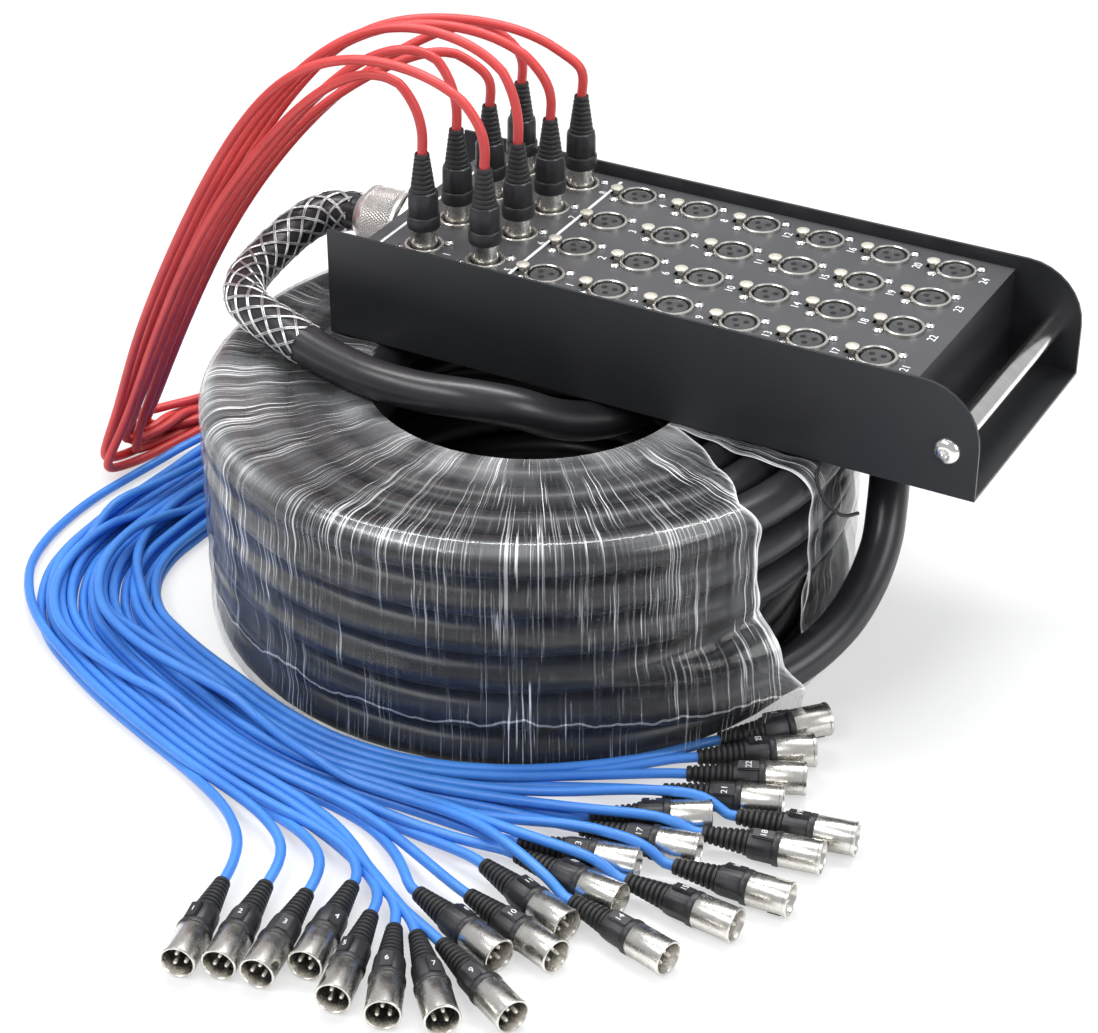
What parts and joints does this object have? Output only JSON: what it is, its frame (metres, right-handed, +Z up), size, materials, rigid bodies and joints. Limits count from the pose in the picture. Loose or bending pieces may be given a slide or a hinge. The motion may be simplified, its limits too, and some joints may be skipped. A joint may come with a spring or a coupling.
{
  "type": "stage box snake",
  "caption": "Long multicore audio snake: flat steel stage box with rows of panel sockets and return tails on its coiled, film-wrapped trunk cable, fanning out to numbered plug tails",
  "frame": {"origin": "on the floor under the middle of box and coil", "axes": "+X along the box from its cable gland to its handle, +Y from the box's near side to its far side, +Z up"},
  "size_m": [0.5973, 0.6596, 0.3508],
  "materials": {
    "black_jacket": "satin black cable jacket",
    "clear_film": "clear wrinkled stretch film",
    "mesh_wire": "woven bright wire sleeve",
    "black_rubber": "matt moulded black",
    "box_paint": "satin black powder coat",
    "panel_paint": "dark grey satin paint with white rules and numbers",
    "nickel": "satin nickel shells",
    "latch_nickel": "cast nickel tab",
    "loom_sleeve": "matt sleeve over wires",
    "polished_steel": "polished",
    "gland_nickel": "nickel plated brass",
    "black_plug": "black coated shells and moulded boots",
    "red_jacket": "satin red jackets",
    "blue_jacket": "satin blue jackets"
  },
  "bodies": {
    "box_and_coil": {"breakout_boot": "black_rubber", "coil_core": "black_jacket", "connector_panel": "panel_paint", "gland_body": "gland_nickel", "gland_nut": "gland_nickel", "handle_bolt_far": "polished_steel", "handle_bolt_near": "polished_steel", "handle_tube": "polished_steel", "input_plugs_a": "black_plug", "input_plugs_b": "black_plug", "input_plugs_c": "black_plug", "input_plugs_d": "black_plug", "input_plugs_e": "black_plug", "input_plugs_f": "black_plug", "input_sockets_row_1": "nickel", "input_sockets_row_2": "nickel", "input_sockets_row_3": "nickel", "input_sockets_row_4": "nickel", "input_tails": "blue_jacket", "mesh_grip": "mesh_wire", "outer_channel": "box_paint", "return_sockets": "nickel", "return_tails": "red_jacket", "stretch_film": "clear_film", "trunk_coil": "black_jacket", "trunk_end": "black_jacket", "trunk_lead": "black_jacket", "wiring_loom": "loom_sleeve"},
    "input_latch_01": {"input_latch_01": "latch_nickel"},
    "input_latch_02": {"input_latch_02": "latch_nickel"},
    "input_latch_03": {"input_latch_03": "latch_nickel"},
    "input_latch_04": {"input_latch_04": "latch_nickel"},
    "input_latch_05": {"input_latch_05": "latch_nickel"},
    "input_latch_06": {"input_latch_06": "latch_nickel"},
    "input_latch_07": {"input_latch_07": "latch_nickel"},
    "input_latch_08": {"input_latch_08": "latch_nickel"},
    "input_latch_09": {"input_latch_09": "latch_nickel"},
    "input_latch_10": {"input_latch_10": "latch_nickel"},
    "input_latch_11": {"input_latch_11": "latch_nickel"},
    "input_latch_12": {"input_latch_12": "latch_nickel"},
    "input_latch_13": {"input_latch_13": "latch_nickel"},
    "input_latch_14": {"input_latch_14": "latch_nickel"},
    "input_latch_15": {"input_latch_15": "latch_nickel"},
    "input_latch_16": {"input_latch_16": "latch_nickel"},
    "input_latch_17": {"input_latch_17": "latch_nickel"},
    "input_latch_18": {"input_latch_18": "latch_nickel"},
    "input_latch_19": {"input_latch_19": "latch_nickel"},
    "input_latch_20": {"input_latch_20": "latch_nickel"},
    "input_latch_21": {"input_latch_21": "latch_nickel"},
    "input_latch_22": {"input_latch_22": "latch_nickel"},
    "input_latch_23": {"input_latch_23": "latch_nickel"},
    "input_latch_24": {"input_latch_24": "latch_nickel"},
    "return_plug_1": {"return_plug_1": "black_plug"},
    "return_plug_2": {"return_plug_2": "black_plug"},
    "return_plug_3": {"return_plug_3": "black_plug"},
    "return_plug_4": {"return_plug_4": "black_plug"},
    "return_plug_5": {"return_plug_5": "black_plug"},
    "return_plug_6": {"return_plug_6": "black_plug"},
    "return_plug_7": {"return_plug_7": "black_plug"},
    "return_plug_8": {"return_plug_8": "black_plug"}
  },
  "joints": [
    {"name": "input_latch_01_press", "type": "slide", "parent": "box_and_coil", "child": "input_latch_01", "axis": [0, 0, -1], "range_m": [0, 0.0015], "stiffness_N_per_m": 800},
    {"name": "input_latch_02_press", "type": "slide", "parent": "box_and_coil", "child": "input_latch_02", "axis": [0, 0, -1], "range_m": [0, 0.0015], "stiffness_N_per_m": 800},
    {"name": "input_latch_03_press", "type": "slide", "parent": "box_and_coil", "child": "input_latch_03", "axis": [0, 0, -1], "range_m": [0, 0.0015], "stiffness_N_per_m": 800},
    {"name": "input_latch_04_press", "type": "slide", "parent": "box_and_coil", "child": "input_latch_04", "axis": [0, 0, -1], "range_m": [0, 0.0015], "stiffness_N_per_m": 800},
    {"name": "input_latch_05_press", "type": "slide", "parent": "box_and_coil", "child": "input_latch_05", "axis": [0, 0, -1], "range_m": [0, 0.0015], "stiffness_N_per_m": 800},
    {"name": "input_latch_06_press", "type": "slide", "parent": "box_and_coil", "child": "input_latch_06", "axis": [0, 0, -1], "range_m": [0, 0.0015], "stiffness_N_per_m": 800},
    {"name": "input_latch_07_press", "type": "slide", "parent": "box_and_coil", "child": "input_latch_07", "axis": [0, 0, -1], "range_m": [0, 0.0015], "stiffness_N_per_m": 800},
    {"name": "input_latch_08_press", "type": "slide", "parent": "box_and_coil", "child": "input_latch_08", "axis": [0, 0, -1], "range_m": [0, 0.0015], "stiffness_N_per_m": 800},
    {"name": "input_latch_09_press", "type": "slide", "parent": "box_and_coil", "child": "input_latch_09", "axis": [0, 0, -1], "range_m": [0, 0.0015], "stiffness_N_per_m": 800},
    {"name": "input_latch_10_press", "type": "slide", "parent": "box_and_coil", "child": "input_latch_10", "axis": [0, 0, -1], "range_m": [0, 0.0015], "stiffness_N_per_m": 800},
    {"name": "input_latch_11_press", "type": "slide", "parent": "box_and_coil", "child": "input_latch_11", "axis": [0, 0, -1], "range_m": [0, 0.0015], "stiffness_N_per_m": 800},
    {"name": "input_latch_12_press", "type": "slide", "parent": "box_and_coil", "child": "input_latch_12", "axis": [0, 0, -1], "range_m": [0, 0.0015], "stiffness_N_per_m": 800},
    {"name": "input_latch_13_press", "type": "slide", "parent": "box_and_coil", "child": "input_latch_13", "axis": [0, 0, -1], "range_m": [0, 0.0015], "stiffness_N_per_m": 800},
    {"name": "input_latch_14_press", "type": "slide", "parent": "box_and_coil", "child": "input_latch_14", "axis": [0, 0, -1], "range_m": [0, 0.0015], "stiffness_N_per_m": 800},
    {"name": "input_latch_15_press", "type": "slide", "parent": "box_and_coil", "child": "input_latch_15", "axis": [0, 0, -1], "range_m": [0, 0.0015], "stiffness_N_per_m": 800},
    {"name": "input_latch_16_press", "type": "slide", "parent": "box_and_coil", "child": "input_latch_16", "axis": [0, 0, -1], "range_m": [0, 0.0015], "stiffness_N_per_m": 800},
    {"name": "input_latch_17_press", "type": "slide", "parent": "box_and_coil", "child": "input_latch_17", "axis": [0, 0, -1], "range_m": [0, 0.0015], "stiffness_N_per_m": 800},
    {"name": "input_latch_18_press", "type": "slide", "parent": "box_and_coil", "child": "input_latch_18", "axis": [0, 0, -1], "range_m": [0, 0.0015], "stiffness_N_per_m": 800},
    {"name": "input_latch_19_press", "type": "slide", "parent": "box_and_coil", "child": "input_latch_19", "axis": [0, 0, -1], "range_m": [0, 0.0015], "stiffness_N_per_m": 800},
    {"name": "input_latch_20_press", "type": "slide", "parent": "box_and_coil", "child": "input_latch_20", "axis": [0, 0, -1], "range_m": [0, 0.0015], "stiffness_N_per_m": 800},
    {"name": "input_latch_21_press", "type": "slide", "parent": "box_and_coil", "child": "input_latch_21", "axis": [0, 0, -1], "range_m": [0, 0.0015], "stiffness_N_per_m": 800},
    {"name": "input_latch_22_press", "type": "slide", "parent": "box_and_coil", "child": "input_latch_22", "axis": [0, 0, -1], "range_m": [0, 0.0015], "stiffness_N_per_m": 800},
    {"name": "input_latch_23_press", "type": "slide", "parent": "box_and_coil", "child": "input_latch_23", "axis": [0, 0, -1], "range_m": [0, 0.0015], "stiffness_N_per_m": 800},
    {"name": "input_latch_24_press", "type": "slide", "parent": "box_and_coil", "child": "input_latch_24", "axis": [0, 0, -1], "range_m": [0, 0.0015], "stiffness_N_per_m": 800},
    {"name": "return_plug_1_pull", "type": "slide", "parent": "box_and_coil", "child": "return_plug_1", "axis": [0, 0, 1], "range_m": [0, 0.016]},
    {"name": "return_plug_2_pull", "type": "slide", "parent": "box_and_coil", "child": "return_plug_2", "axis": [0, 0, 1], "range_m": [0, 0.016]},
    {"name": "return_plug_3_pull", "type": "slide", "parent": "box_and_coil", "child": "return_plug_3", "axis": [0, 0, 1], "range_m": [0, 0.016]},
    {"name": "return_plug_4_pull", "type": "slide", "parent": "box_and_coil", "child": "return_plug_4", "axis": [0, 0, 1], "range_m": [0, 0.016]},
    {"name": "return_plug_5_pull", "type": "slide", "parent": "box_and_coil", "child": "return_plug_5", "axis": [0, 0, 1], "range_m": [0, 0.016]},
    {"name": "return_plug_6_pull", "type": "slide", "parent": "box_and_coil", "child": "return_plug_6", "axis": [0, 0, 1], "range_m": [0, 0.016]},
    {"name": "return_plug_7_pull", "type": "slide", "parent": "box_and_coil", "child": "return_plug_7", "axis": [0, 0, 1], "range_m": [0, 0.016]},
    {"name": "return_plug_8_pull", "type": "slide", "parent": "box_and_coil", "child": "return_plug_8", "axis": [0, 0, 1], "range_m": [0, 0.016]}
  ]
}
